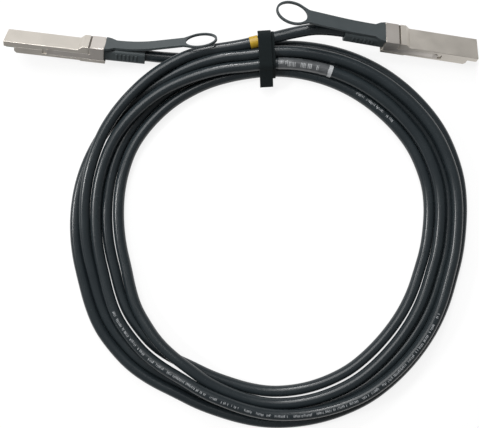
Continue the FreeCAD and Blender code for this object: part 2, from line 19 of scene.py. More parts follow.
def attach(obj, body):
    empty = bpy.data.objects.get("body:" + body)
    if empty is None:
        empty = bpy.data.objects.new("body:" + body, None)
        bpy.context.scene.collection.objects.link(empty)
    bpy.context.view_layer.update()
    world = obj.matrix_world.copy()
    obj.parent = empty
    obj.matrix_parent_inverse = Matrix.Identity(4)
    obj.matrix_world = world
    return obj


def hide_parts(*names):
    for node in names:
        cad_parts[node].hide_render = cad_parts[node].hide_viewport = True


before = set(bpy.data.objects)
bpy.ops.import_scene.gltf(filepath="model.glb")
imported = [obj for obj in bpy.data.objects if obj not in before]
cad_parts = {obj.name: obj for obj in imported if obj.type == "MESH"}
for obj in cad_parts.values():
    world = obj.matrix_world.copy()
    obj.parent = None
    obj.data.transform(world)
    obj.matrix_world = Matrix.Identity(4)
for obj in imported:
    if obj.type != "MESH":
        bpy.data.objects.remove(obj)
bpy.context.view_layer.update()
LOG = logging.getLogger("copper_cable")
MM = 0.001
CABLE_DIAMETER = 8.5 * MM
MERGE_DISTANCE = 0.001 * MM


class Body(Enum):
    """The bodies that pieces ride on."""

    CABLE = "cable"
    LEFT_LATCH = "left_latch"
    RIGHT_LATCH = "right_latch"


class Side(Enum):
    """The two ends of the cable."""

    LEFT = "left"
    RIGHT = "right"


# --- small helpers --------------------------------------------------------------------------


def link(name: str, data: bpy.types.ID) -> bpy.types.Object:
    """Put new data into the scene as an object at the origin.

    Args:
        name: name of the object.
        data: mesh, curve, camera or lamp data.

    Returns:
        The object.
    """
    piece = bpy.data.objects.new(name, data)
    bpy.context.scene.collection.objects.link(piece)
    return piece


def mesh_piece(name: str, points: list, faces: list, smooth: bool = True) -> bpy.types.Object:
    """Make a mesh object with its faces turned outwards.

    Args:
        name: name of the piece.
        points: corner positions.
        faces: corner indices of each face.
        smooth: whether the faces are shaded smooth.

    Returns:
        The new object.
    """
    mesh = bpy.data.meshes.new(name)
    mesh.from_pydata([tuple(p) for p in points], [], faces)
    shell = bmesh.new()
    shell.from_mesh(mesh)
    bmesh.ops.remove_doubles(shell, verts=shell.verts, dist=MERGE_DISTANCE)
    bmesh.ops.recalc_face_normals(shell, faces=shell.faces)
    shell.to_mesh(mesh)
    shell.free()
    if smooth:
        mesh.shade_smooth()
    else:
        mesh.shade_flat()
    return link(name, mesh)


def baked(piece: bpy.types.Object) -> bpy.types.Mesh:
    """The evaluated mesh of an object, as plain mesh data."""
    depsgraph = bpy.context.evaluated_depsgraph_get()
    return bpy.data.meshes.new_from_object(piece.evaluated_get(depsgraph), depsgraph=depsgraph)


def bake_modifiers(piece: bpy.types.Object) -> None:
    """Replace a mesh object's data by its evaluated mesh and drop its modifiers.

    Args:
        piece: the object.
    """
    mesh = baked(piece)
    piece.modifiers.clear()
    piece.data = mesh


def clothe(piece: bpy.types.Object, material: bpy.types.Material) -> None:
    """Give every material slot of a piece one material.

    Args:
        piece: the object.
        material: the material.
    """
    if not piece.material_slots:
        piece.data.materials.append(material)
    for slot in piece.material_slots:
        slot.material = material


# --- node trees -----------------------------------------------------------------------------


class Wiring:
    """Adds nodes to a tree and wires them up."""

    def __init__(self, tree: bpy.types.NodeTree) -> None:
        """Work on a tree."""
        self.tree = tree

    def feed(self, node: bpy.types.Node, feeds: dict) -> None:
        """Set or wire a node's inputs.

        Args:
            node: the node.
            feeds: a value or another node's socket, by input.
        """
        for socket, source in feeds.items():
            if isinstance(source, bpy.types.NodeSocket):
                self.tree.links.new(source, node.inputs[socket])
            else:
                node.inputs[socket].default_value = source

    def node(self, kind: str, feeds: dict | None = None, **settings: object) -> bpy.types.Node:
        """Add a node.

        Args:
            kind: type of the node.
            feeds: a value or another node's socket, by input.
            settings: the node's own settings.

        Returns:
            The node.
        """
        made = self.tree.nodes.new(kind)
        for key, value in settings.items():
            setattr(made, key, value)
        self.feed(made, feeds or {})
        return made

    def maths(self, operation: str, *sources: object, **settings: object) -> bpy.types.NodeSocket:
        """The result of one sum.

        Args:
            operation: what is done.
            sources: the values or sockets it is done to.
            settings: the node's other settings.

        Returns:
            The result's socket.
        """
        made = self.node("ShaderNodeMath", dict(enumerate(sources)), operation=operation, **settings)
        return made.outputs[0]

    def vector(self, x: object, y: object = 0.0, z: object = 0.0) -> bpy.types.NodeSocket:
        """Three values as a vector."""
        return self.node("ShaderNodeCombineXYZ", {"X": x, "Y": y, "Z": z}).outputs[0]

    def mix(self, share: bpy.types.NodeSocket, first: object, second: object) -> bpy.types.NodeSocket:
        """A mix of two colours."""
        return self.node("ShaderNodeMix", {"Factor": share, "A": first, "B": second},
                         data_type="RGBA").outputs["Result"]

    def group(self, shared: bpy.types.NodeTree, feeds: dict) -> bpy.types.NodeOutputs:
        """The outputs of a shared group, placed with its own values."""
        return self.node("ShaderNodeGroup", feeds, node_tree=shared).outputs


def new_group(name: str, inputs: dict, outputs: dict) -> Wiring:
    """Start a shader node group with named sockets.

    Args:
        name: name of the group.
        inputs: default value by socket name.
        outputs: socket type by socket name.

    Returns:
        The group, ready to be wired.
    """
    tree = bpy.data.node_groups.new(name, "ShaderNodeTree")
    for label, value in inputs.items():
        kind = "NodeSocketFloat" if isinstance(value, float) else "NodeSocketColor"
        socket = tree.interface.new_socket(label, in_out="INPUT", socket_type=kind)
        socket.default_value = value
    for label, kind in outputs.items():
        tree.interface.new_socket(label, in_out="OUTPUT", socket_type=kind)
    return Wiring(tree)


def grain_group() -> bpy.types.NodeTree:
    """Two tones mixed by soft mottling, with fine grain for bump and roughness.

    Returns:
        The group.
    """
    wiring = new_group(
        "surface_grain",
        {"Tone A": (0.1, 0.1, 0.1, 1.0), "Tone B": (0.2, 0.2, 0.2, 1.0), "Mottle Scale": 120.0,
         "Grain Scale": 2500.0, "Roughness": 0.5, "Roughness Spread": 0.1},
        {"Colour": "NodeSocketColor", "Roughness": "NodeSocketFloat", "Height": "NodeSocketFloat"})
    given = wiring.node("NodeGroupInput").outputs
    place = wiring.node("ShaderNodeTexCoord").outputs["Object"]
    mottle, grain = (wiring.node("ShaderNodeTexNoise", {
        "Vector": place, "Scale": given[scale], "Detail": detail}).outputs["Fac"]
        for scale, detail in (("Mottle Scale", 4.0), ("Grain Scale", 2.0)))
    centred = wiring.maths("SUBTRACT", mottle, 0.5)
    wiring.node("NodeGroupOutput", {
        "Colour": wiring.mix(mottle, given["Tone A"], given["Tone B"]),
        "Roughness": wiring.maths("MULTIPLY_ADD", centred, given["Roughness Spread"], given["Roughness"]),
        "Height": grain})
    return wiring.tree


def edge_group() -> bpy.types.NodeTree:
    """Mask for a painted edge highlight, and rounded normal along sharp edges, from how far a rounded
    normal leaves the true one.

    Returns:
        The group.
    """
    wiring = new_group(
        "soft_edges", {"Radius": 0.2 * MM, "Strength": 3.0},
        {"Mask": "NodeSocketFloat", "Normal": "NodeSocketVector"})
    given = wiring.node("NodeGroupInput").outputs
    rounded = wiring.node("ShaderNodeBevel", {"Radius": given["Radius"]}, samples=6).outputs["Normal"]
    true = wiring.node("ShaderNodeNewGeometry").outputs["True Normal"]
    alike = wiring.node("ShaderNodeVectorMath", {0: rounded, 1: true}, operation="DOT_PRODUCT")
    away = wiring.maths("SUBTRACT", 1.0, alike.outputs["Value"])
    wiring.node("NodeGroupOutput", {
        "Mask": wiring.maths("MULTIPLY", away, given["Strength"], use_clamp=True), "Normal": rounded})
    return wiring.tree


class Groups:
    """The shader groups that several finishes share."""

    def __init__(self) -> None:
        """Build each group once."""
        self.grain = grain_group()
        self.edges = edge_group()


# --- finishes -------------------------------------------------------------------------------


@dataclass(frozen=True)
class Finish:
    """A surface finish: two tones, gloss, grain, and softened edges with a painted highlight along them."""

    name: str
    tone_a: tuple
    tone_b: tuple
    roughness: float = 0.5
    roughness_spread: float = 0.15
    metallic: float = 0.0
    mottle_scale: float = 120.0
    grain_scale: float = 2500.0
    bump: float = 0.15
    bump_depth: float = 0.05 * MM
    edge_radius: float = 0.2 * MM
    edge_highlight_tone: tuple = ()
    sheen: float = 0.0
    coat: float = 0.0
    specular: float = 0.5

    def build(self, groups: Groups) -> bpy.types.Material:
        """Make the material.

        Args:
            groups: the shared shader groups.

        Returns:
            The finished material.
        """
        material = bpy.data.materials.new(self.name)
        material.use_nodes = True
        wiring = Wiring(material.node_tree)
        grain = wiring.group(groups.grain, {
            "Tone A": (*self.tone_a, 1.0), "Tone B": (*self.tone_b, 1.0),
            "Mottle Scale": self.mottle_scale, "Grain Scale": self.grain_scale,
            "Roughness": self.roughness, "Roughness Spread": self.roughness_spread})
        colour = grain["Colour"]
        relief = {"Strength": self.bump, "Distance": self.bump_depth, "Height": grain["Height"]}
        # Sharp edges are mixed towards a lighter tone: a painted highlight along them.
        if self.edge_highlight_tone:
            edges = wiring.group(groups.edges, {"Radius": self.edge_radius})
            colour = wiring.mix(edges["Mask"], colour, (*self.edge_highlight_tone, 1.0))
            relief["Normal"] = edges["Normal"]
        wiring.feed(material.node_tree.nodes["Principled BSDF"], {
            "Base Color": colour, "Roughness": grain["Roughness"], "Metallic": self.metallic,
            "Normal": wiring.node("ShaderNodeBump", relief).outputs["Normal"],
            "Sheen Weight": self.sheen, "Coat Weight": self.coat, "Specular IOR Level": self.specular})
        return material


class Look(Enum):
    """The finish of each kind of piece."""

    DIE_CAST_NICKEL = Finish(
        "die_cast_nickel", (0.56, 0.525, 0.475), (0.66, 0.62, 0.565), roughness=0.48, roughness_spread=0.14,
        metallic=1.0, mottle_scale=90.0, grain_scale=1800.0, bump=0.25, bump_depth=0.06 * MM,
        edge_radius=0.25 * MM, edge_highlight_tone=(0.88, 0.84, 0.78))
    LATCH_STEEL = Finish(
        "latch_steel", (0.58, 0.54, 0.505), (0.66, 0.62, 0.58), roughness=0.40, roughness_spread=0.1,
        metallic=1.0, mottle_scale=60.0, grain_scale=3200.0, bump=0.12, bump_depth=0.03 * MM,
        edge_radius=0.18 * MM, edge_highlight_tone=(0.90, 0.87, 0.84))
    SLOT_SHADOW = Finish(
        "slot_shadow", (0.045, 0.036, 0.028), (0.07, 0.058, 0.046), roughness=0.6, roughness_spread=0.1)
    SCREW_STEEL = Finish(
        "screw_steel", (0.45, 0.44, 0.42), (0.6, 0.58, 0.56),
        roughness=0.35, roughness_spread=0.1, metallic=1.0)
    SPRING_WIRE = Finish(
        "spring_wire", (0.5, 0.5, 0.5), (0.62, 0.62, 0.62),
        roughness=0.3, roughness_spread=0.1, metallic=1.0)
    TAB_MOULDING = Finish(
        "tab_moulding", (0.030, 0.038, 0.041), (0.042, 0.051, 0.054),
        mottle_scale=150.0, grain_scale=1600.0, bump=0.2,
        edge_radius=0.3 * MM, edge_highlight_tone=(0.055, 0.066, 0.069), specular=0.35)
    BOOT_MOULDING = Finish(
        "boot_moulding", (0.034, 0.043, 0.046), (0.047, 0.057, 0.060),
        mottle_scale=150.0, grain_scale=1600.0, bump=0.2,
        edge_radius=0.4 * MM, edge_highlight_tone=(0.050, 0.060, 0.063), specular=0.35)
    FERRULE_BRASS = Finish(
        "ferrule_brass", (0.7, 0.5, 0.22), (0.8, 0.6, 0.3),
        roughness=0.3, roughness_spread=0.1, metallic=1.0)
    CABLE_JACKET = Finish(
        "cable_jacket", (0.010, 0.014, 0.017), (0.018, 0.024, 0.027), roughness=0.27, roughness_spread=0.08,
        mottle_scale=60.0, grain_scale=1400.0, bump=0.08, bump_depth=0.03 * MM, specular=0.35)
    CIRCUIT_CARD = Finish(
        "circuit_card", (0.01, 0.09, 0.03), (0.015, 0.12, 0.045), roughness=0.35, roughness_spread=0.1)
    CONTACT_GOLD = Finish(
        "contact_gold", (0.85, 0.6, 0.2), (0.95, 0.7, 0.3),
        roughness=0.25, roughness_spread=0.1, metallic=1.0)
    CHIP_MOULDING = Finish(
        "chip_moulding", (0.01, 0.01, 0.012), (0.02, 0.02, 0.022), roughness_spread=0.1)
    PAIR_FOIL = Finish(
        "pair_foil", (0.6, 0.6, 0.62), (0.75, 0.75, 0.77),
        roughness=0.3, roughness_spread=0.1, metallic=1.0)
    TIE_FABRIC = Finish(
        "tie_fabric", (0.0025, 0.0045, 0.005), (0.006, 0.010, 0.011), roughness=0.85, roughness_spread=0.1,
        mottle_scale=900.0, grain_scale=2600.0, bump=0.9, bump_depth=0.25 * MM, sheen=0.05, specular=0.15)
    MARKER_YELLOW = Finish(
        "marker_yellow", (0.26, 0.155, 0.005), (0.42, 0.27, 0.010), roughness=0.45, roughness_spread=0.1,
        mottle_scale=400.0, grain_scale=1500.0)
    LABEL_FILM = Finish(
        "label_film", (0.025, 0.028, 0.030), (0.10, 0.105, 0.11), roughness=0.3, roughness_spread=0.1,
        mottle_scale=160.0, grain_scale=1500.0, coat=0.4)
    LABEL_END = Finish(
        "label_end", (0.26, 0.27, 0.275), (0.42, 0.43, 0.44), roughness=0.35, roughness_spread=0.1,
        mottle_scale=300.0, grain_scale=1500.0)
    PALE_PRINT = Finish(
        "pale_print", (0.14, 0.15, 0.16), (0.30, 0.31, 0.32), roughness=0.6, roughness_spread=0.1,
        mottle_scale=500.0)


class Palette:
    """Every look as a material, made when first asked for."""

    def __init__(self) -> None:
        """Start with the shared groups and no materials."""
        self.groups = Groups()
        self.made: dict[Look, bpy.types.Material] = {}

    def __getitem__(self, look: Look) -> bpy.types.Material:
        """The material of a look.

        Args:
            look: the look.

        Returns:
            Its material.
        """
        if look not in self.made:
            self.made[look] = look.value.build(self.groups)
        return self.made[look]


# --- plugs ----------------------------------------------------------------------------------


@dataclass(frozen=True)
class PlugPose:
    """How a plug lies: the rear end of its cable axis, then turns about Z, Y and X."""

    side: Side
    place: tuple
    yaw: float
    pitch: float
    roll: float
    tab_lift: float
    latch: Body
    boot_length: float = 30 * MM
    axis_height: float = 4.9 * MM

    def named(self, piece: str) -> str:
        """The name of a piece on this side."""
        return "%s_%s" % (self.side.value, piece)

    def turn(self) -> Matrix:
        """The plug's rotation.

        Returns:
            The matrix that turns the plug's own frame into the scene's.
        """
        angles = zip((self.yaw, self.pitch, self.roll), "ZYX")
        about_z, about_y, about_x = (Matrix.Rotation(math.radians(a), 3, axis) for a, axis in angles)
        return about_z @ about_y @ about_x

    def outside(self, point: tuple) -> Vector:
        """A point of the plug's own frame, placed in the scene."""
        return Vector(self.place) + self.turn() @ (Vector(point) - Vector((0, 0, self.axis_height)))

    def behind(self, distance: float) -> Vector:
        """The point on the cable axis at a distance behind the boot's end."""
        return Vector(self.place) + self.turn() @ Vector((-self.boot_length - distance, 0, 0))


LEFT_PLUG = PlugPose(Side.LEFT, (-0.1040, -0.0107, 0.0106), yaw=174.5, pitch=-6.0, roll=47.5, tab_lift=14.5,
                     latch=Body.LEFT_LATCH)
RIGHT_PLUG = PlugPose(Side.RIGHT, (0.1035, -0.0020, 0.0155), yaw=-7.0, pitch=6.5, roll=-25.0, tab_lift=6.0,
                      latch=Body.RIGHT_LATCH)

NODE_LOOKS = {
    "top_shell": Look.DIE_CAST_NICKEL, "bottom_shell": Look.DIE_CAST_NICKEL,
    "shell_screws": Look.SCREW_STEEL, "latch_slider": Look.LATCH_STEEL,
    "latch_springs": Look.SPRING_WIRE, "pull_tab": Look.TAB_MOULDING,
    "boot": Look.BOOT_MOULDING, "crimp_ferrule": Look.FERRULE_BRASS,
    "cable_entry": Look.CABLE_JACKET, "wire_pairs": Look.PAIR_FOIL,
    "paddle_card": Look.CIRCUIT_CARD, "contact_pads": Look.CONTACT_GOLD,
    "memory_chip": Look.CHIP_MOULDING,
}


@dataclass
class PullTab:
    """The moulded tab: flared head, bent strap and a closed finger loop."""

    pose: PlugPose
    underside: float = 10.0 * MM
    thickness: float = 1.7 * MM
    start: float = 0.3 * MM
    length: float = 84.0 * MM
    head: float = 8.0 * MM
    head_width: float = 17.8 * MM
    strap_width: float = 11.2 * MM
    loop_length: float = 25.0 * MM
    loop_width: float = 20.0 * MM
    rim: float = 1.45 * MM
    head_fullness: float = 0.12      # how far the head's flank bulges, in half strap widths
    shoulder_place: float = 0.18     # from the loop's middle, in loop lengths
    shoulder_share: float = 0.466    # half width there, in loop widths
    bend: float = 30.0 * MM
    bend_steps: int = 12
    loop_steps: int = 24
    least_step: float = 0.01 * MM
    round_over: float = 0.3 * MM
    round_segments: int = 2
    crease: float = 40.0

    def loop_middle(self) -> float:
        """Distance of the finger loop's middle behind the plug's rear face."""
        return self.length - self.loop_length / 2

    def shoulder(self) -> float:
        """Distance of the place where the strap runs into the loop."""
        return self.loop_middle() - self.loop_length * self.shoulder_place

    def half_width(self, along: float) -> float:
        """Half the tab's outer width.

        Args:
            along: distance behind the plug's rear face.

        Returns:
            The half width there.
        """
        head, strap = self.head_width / 2, self.strap_width / 2
        neck = self.loop_middle() - self.loop_length * 0.5
        keys = (0, self.head / 2, self.head, neck, self.shoulder())
        sides = (head, (head + strap) / 2 + strap * self.head_fullness, strap, strap,
                 self.loop_width * self.shoulder_share)
        flank = float(np.interp(along, keys, sides)) if along <= keys[-1] else 0.0
        return max(flank, self.oval(along, self.loop_length / 2, self.loop_width / 2))

    def oval(self, along: float, long_half: float, wide_half: float) -> float:
        """Half width of an oval round the loop's middle, 0 outside it."""
        share = (along - self.loop_middle()) / long_half
        return wide_half * math.sqrt(1 - share * share) if abs(share) < 1 else 0.0

    def lifted(self, along: float, across: float, out: float) -> Vector:
        """A point of the tab, bent up with it.

        Args:
            along: distance behind the plug's rear face, along the tab.
            across: distance from the tab's middle line.
            out: distance out of its underside.

        Returns:
            The point, placed in the scene.
        """
        turn = math.radians(self.pose.tab_lift)
        radius = self.bend / turn
        angle = min(max((along - self.head) / radius, 0.0), turn)
        rest = max(along - self.head - self.bend, 0.0)
        level = min(along, self.head)
        x = -level - (radius - out) * math.sin(angle) - rest * math.cos(angle)
        z = self.underside + radius - (radius - out) * math.cos(angle) + rest * math.sin(angle)
        return self.pose.outside((x, across, z))

    def stations(self) -> list:
        """Where the tab's cross sections lie, close together near the ends of the loop and of its hole.

        Returns:
            Distances behind the plug's rear face, in order.
        """
        found = [self.start, self.head / 2, self.head, self.shoulder()]
        found += [self.head + self.bend * (k + 1) / self.bend_steps for k in range(self.bend_steps)]
        for half in (self.loop_length / 2, self.loop_length / 2 - self.rim):
            found += [self.loop_middle() - half * math.cos(math.pi * k / self.loop_steps)
                      for k in range(self.loop_steps + 1)]
        found = sorted(found)
        return [a for a, b in zip(found, found[1:] + [math.inf]) if b - a > self.least_step]

    def soften(self, tab: bpy.types.Object) -> None:
        """Round the tab's sharp edges for good.

        Args:
            tab: the tab, with sharp edges.
        """
        bevel = tab.modifiers.new("soft", "BEVEL")
        bevel.width, bevel.segments = self.round_over, self.round_segments
        bevel.limit_method, bevel.angle_limit = "ANGLE", math.radians(self.crease)
        bevel.harden_normals = True
        bake_modifiers(tab)

    def build(self, palette: Palette) -> bpy.types.Object:
        """Make the tab and give it its finish.

        Args:
            palette: the materials.

        Returns:
            The tab.
        """
        points, faces = [], []
        hole = (self.loop_length / 2 - self.rim, self.loop_width / 2 - self.rim)
        stations = self.stations()
        for side in (1, -1):
            base = len(points)
            for along in stations:
                widths = (self.oval(along, *hole), self.half_width(along))
                points += [self.lifted(along, side * wide, out)
                           for out in (0.0, self.thickness) for wide in widths]
            for place in range(len(stations) - 1):
                row, after = base + 4 * place, base + 4 * place + 4
                for a, b in ((0, 1), (1, 3), (3, 2)):
                    faces.append((row + a, row + b, after + b, after + a))
                if max(self.oval(stations[place + k], *hole) for k in (0, 1)) > 0:
                    faces.append((row + 2, row, after, after + 2))
            faces.append((base, base + 1, base + 3, base + 2))
        tab = mesh_piece(self.pose.named("soft_tab"), points, faces, smooth=False)
        self.soften(tab)
        clothe(tab, palette[Look.TAB_MOULDING])
        LOG.info("%s built", tab.name)
        return tab


@dataclass
class Plug:
    """One latching plug: most of its pieces are carried over from the parts."""

    pose: PlugPose
    slot: tuple = (9.95 * MM, 11.38 * MM)
    slot_floor: float = 10.8 * MM
    strip_thickness: float = 0.12 * MM
    half_saddle: float = 8.6 * MM
    pocket: tuple = (41.72 * MM, 44.88 * MM)
    pocket_height: tuple = (1.92 * MM, 5.68 * MM)
    pocket_back: tuple = (8.20 * MM, 8.45 * MM)

    def box(self, name: str, x: tuple, y: tuple, z: tuple) -> bpy.types.Object:
        """A box in the plug's own frame.

        Args:
            name: name of the piece.
            x: its two ends along the plug.
            y: its two ends across the plug.
            z: its two heights.

        Returns:
            The box.
        """
        points = [self.pose.outside((a, b, c)) for a in x for b in y for c in z]
        faces = [(0, 1, 3, 2), (4, 6, 7, 5), (0, 4, 5, 1), (2, 3, 7, 6), (0, 2, 6, 4), (1, 5, 7, 3)]
        return mesh_piece(name, points, faces, smooth=False)

    def trim(self, palette: Palette) -> list:
        """A dark strip of painted shade in the slot of the roof, and the closed backs of the catch pockets.

        Args:
            palette: the materials.

        Returns:
            The painted-shade strip and the backs.
        """
        # A thin dark sheet on the slot's floor: painted shade for the shallow slot in front of the latch's
        # rear band.
        strip = self.box(self.pose.named("slot_shade_strip"), self.slot, (-self.half_saddle, self.half_saddle),
                         (self.slot_floor, self.slot_floor + self.strip_thickness))
        clothe(strip, palette[Look.SLOT_SHADOW])
        pieces = [strip]
        for side, name in ((1, "pocket_near"), (-1, "pocket_far")):
            depth = tuple(sorted(side * d for d in self.pocket_back))
            pieces.append(self.box(self.pose.named(name), self.pocket, depth, self.pocket_height))
            clothe(pieces[-1], palette[Look.DIE_CAST_NICKEL])
        return pieces

    def dress(self, palette: Palette) -> None:
        """Give each piece of the plug its finish.

        Args:
            palette: the materials.
        """
        for name, look in NODE_LOOKS.items():
            clothe(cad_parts[self.pose.named(name)], palette[look])
        LOG.info("%s plug dressed", self.pose.side.value)


# --- the cable ------------------------------------------------------------------------------


@dataclass
class TiedCoil:
    """Five turns of cable in lanes across the bundle, settled under their own weight.

    A lane is counted in cable diameters inwards from the outermost one, and a layer upwards from
    the table. Each row holds one turn at the key angles, in degrees clockwise from the tie, and
    the next row carries on from it.
    """

    centre: tuple = (19.45 * MM, -144.75 * MM)
    radius: float = 149.7 * MM
    diameter: float = CABLE_DIAMETER
    # how far the rim stands out beyond the radius, in mm, at even steps from the tie
    bulges: tuple = (3.0, 3.0, 3.5, 4.0, 5.0, 3.5, -0.5, -2.5, -0.5, 1.0, 2.8, 2.2,
                     1.0, -2.2, -3.0, 2.2, 3.8, 0.8, 2.0, 3.2, 3.6, 2.0, 1.8, 2.8)
    key_angles: tuple = (0, 45, 90, 135, 180, 193, 205, 235, 275, 315, 338)
    lanes: tuple = ((1.05, 0.00, 0.00, 0.00, 0.00, 0.00, 0.00, 0.00, 0.00, 0.60, 1.40),
                    (1.74, 0.85, 0.60, 0.40, 0.99, 1.52, 1.73, 2.00, 1.93, 1.30, 2.40),
                    (2.72, 2.30, 1.90, 2.20, 1.51, 1.81, 1.98, 4.15, 4.02, 2.75, 3.10),
                    (3.20, 3.10, 2.75, 3.30, 2.56, 3.10, 2.30, 3.02, 2.95, 1.72, 2.10),
                    (2.15, 1.40, 1.05, 1.25, 1.14, 0.88, 0.27, 0.97, 1.02, 0.22, 0.25))
    layers: tuple = ((0, 0, 0, 0, 0, 0, 0, 0, 0, 0.3, 0.9),
                     (1, 1, 1, 1, 1, 1, 1, 0.8, 0.5, 1, 1),
                     (1, 1, 0.7, 0.5, 1, 1, 1, 0.5, 0, 0, 0),
                     (0, 0, 0, 0, 0, 0, 0, 0, 0, 0, 0),
                     (0, 0, 0, 0, 0, 0, 0, 0.2, 0.3, 0.9, 0.9))
    last_lane: float = 0.5
    last_layer: float = 1.0
    stations: int = 48
    lead: int = 4                # stations of the left tail that lie under the turns
    layer_height: float = 0.87   # of one layer above the next, in cable diameters
    settle_steps: int = 400
    loose_share: float = 0.8     # share of the steps in which strands are still pulled and sag
    pull: float = 0.14           # share of the way back to its lane in each step
    sag: float = 0.03 * MM
    smoothing: float = 0.22
    late_smoothing: float = 0.2  # share of the smoothing that stays in the last steps
    spacing: float = 1.002       # least distance between strands, in cable diameters

    def polar(self, point: Vector) -> tuple:
        """Where a point lies on the coil.

        Args:
            point: the point.

        Returns:
            Its angle from the tie in degrees, its distance inwards from the rim, and its height.
        """
        x, y = point[0] - self.centre[0], point[1] - self.centre[1]
        angle = math.degrees(math.atan2(x, y))
        return angle, self.rim(angle) - math.hypot(x, y), point[2]

    def rim(self, angle: float) -> float:
        """How far the rim is from the centre.

        Args:
            angle: degrees clockwise from the tie.

        Returns:
            The distance.
        """
        at = angle % 360 / 360 * len(self.bulges)
        low, share = int(at) % len(self.bulges), at - int(at)
        eased = share * share * (3 - 2 * share)
        bulge = self.bulges[low] * (1 - eased) + self.bulges[(low + 1) % len(self.bulges)] * eased
        return self.radius + bulge * MM

    def place(self, angle: float, inward: float, height: float) -> Vector:
        """The opposite of polar.

        Args:
            angle: degrees clockwise from the tie.
            inward: distance inwards from the rim.
            height: height above the table.

        Returns:
            The point.
        """
        turn, reach = math.radians(angle), self.rim(angle) - inward
        x, y = self.centre
        return Vector((x + reach * math.sin(turn), y + reach * math.cos(turn), height))

    def keyed(self, rows: tuple, last: float, angles: np.ndarray) -> np.ndarray:
        """Values between the keys, eased from one key to the next.

        Args:
            rows: the keys of each turn.
            last: the key where the last turn ends.
            angles: where the values are wanted, in degrees.

        Returns:
            A value for each angle.
        """
        keys = np.array([key for row in rows for key in row] + [last], float)
        where = [360.0 * turn + angle for turn in range(len(rows)) for angle in self.key_angles]
        where = np.array(where + [360.0 * len(rows)])
        low = np.clip(np.searchsorted(where, angles, side="right") - 1, 0, len(where) - 2)
        share = np.clip((angles - where[low]) / (where[low + 1] - where[low]), 0, 1)
        eased = share * share * (3 - 2 * share)
        return keys[low] * (1 - eased) + keys[low + 1] * eased

    def settle(self, lead_in: list, run_out: list) -> list:
        """Lay the turns: pulled to their lanes, down to the table, and off each other.

        Args:
            lead_in: points of the left tail, towards the coil.
            run_out: points of the right tail, away from the coil.

        Returns:
            The points of the turns, in order.
        """
        last_free = len(self.lanes) * self.stations - 2
        index = np.arange(-self.lead, last_free + 4)
        angles = index * (360.0 / self.stations)
        free = (index >= 0) & (index <= last_free)
        inward = (self.keyed(self.lanes, self.last_lane, angles) + 0.5) * self.diameter
        layer = self.keyed(self.layers, self.last_layer, angles)
        height = self.diameter / 2 + layer * self.diameter * self.layer_height
        self.follow(lead_in, inward, height, angles, index < 0)
        self.follow(run_out, inward, height, angles - 360.0 * len(self.lanes), index > last_free)
        lane, pairs = inward.copy(), self.neighbours(index)
        for count in range(self.settle_steps):
            loose = count < self.settle_steps * self.loose_share
            if loose:
                inward[free] += self.pull * (lane - inward)[free]
                height[free] -= self.sag
            for values in (inward, height):
                middle = 0.5 * (values[:-2] + values[2:])
                share = self.smoothing * (1.0 if loose else self.late_smoothing)
                eased = values[1:-1] + share * (middle - values[1:-1])
                values[1:-1] = np.where(free[1:-1], eased, values[1:-1])
            for first, second in pairs:
                self.push_apart(inward, height, free, first, second)
            height[:] = np.maximum(height, self.diameter / 2)
            inward[free] = np.maximum(inward[free], self.diameter / 2)
        kept = (index >= 0) & (index < last_free)
        return [self.place(a, i, h) for a, i, h in zip(angles[kept], inward[kept], height[kept])]

    def follow(self, tail: list, inward: np.ndarray, height: np.ndarray, angles: np.ndarray,
               where: np.ndarray) -> None:
        """Hold the stations of a tail on its own points.

        Args:
            tail: points of the tail.
            inward: distance of every station from the rim, changed in place.
            height: height of every station, changed in place.
            angles: angle of every station from the tail's own start of the turn.
            where: which stations belong to the tail.
        """
        known = sorted(self.polar(point) for point in tail)
        for target, column in ((inward, 1), (height, 2)):
            target[where] = np.interp(angles[where], [k[0] for k in known], [k[column] for k in known])

    def neighbours(self, index: np.ndarray) -> list:
        """The pairs of strands that pass each angle.

        Args:
            index: number of every station along the cable.

        Returns:
            Pairs of arrays with one entry for each angle, -1 for none.
        """
        groups = [np.flatnonzero(index % self.stations == place) for place in range(self.stations)]
        most = max(len(group) for group in groups)
        table = np.array([list(group) + [-1] * (most - len(group)) for group in groups])
        return [(table[:, a], table[:, b]) for a in range(most) for b in range(a + 1, most)]

    def push_apart(self, inward: np.ndarray, height: np.ndarray, free: np.ndarray,
                   first: np.ndarray, second: np.ndarray) -> None:
        """Move two sets of strands apart wherever they overlap.

        Args:
            inward: distance of every point from the rim, changed in place.
            height: height of every point, changed in place.
            free: which points may move.
            first: points of one set, -1 for none.
            second: points of the other, station by station.
        """
        both = (first >= 0) & (second >= 0)
        a, b = first[both], second[both]
        across, up = inward[a] - inward[b], height[a] - height[b]
        apart = np.maximum(np.hypot(across, up), 1e-6)
        lap = np.maximum(self.diameter * self.spacing - apart, 0)
        share_a = np.where(free[a], np.where(free[b], 0.5, 1.0), 0.0)
        share_b = np.where(free[b], 1.0 - share_a, 0.0)
        for values, way in ((inward, across / apart), (height, up / apart)):
            values[a] += way * lap * share_a
            values[b] -= way * lap * share_b


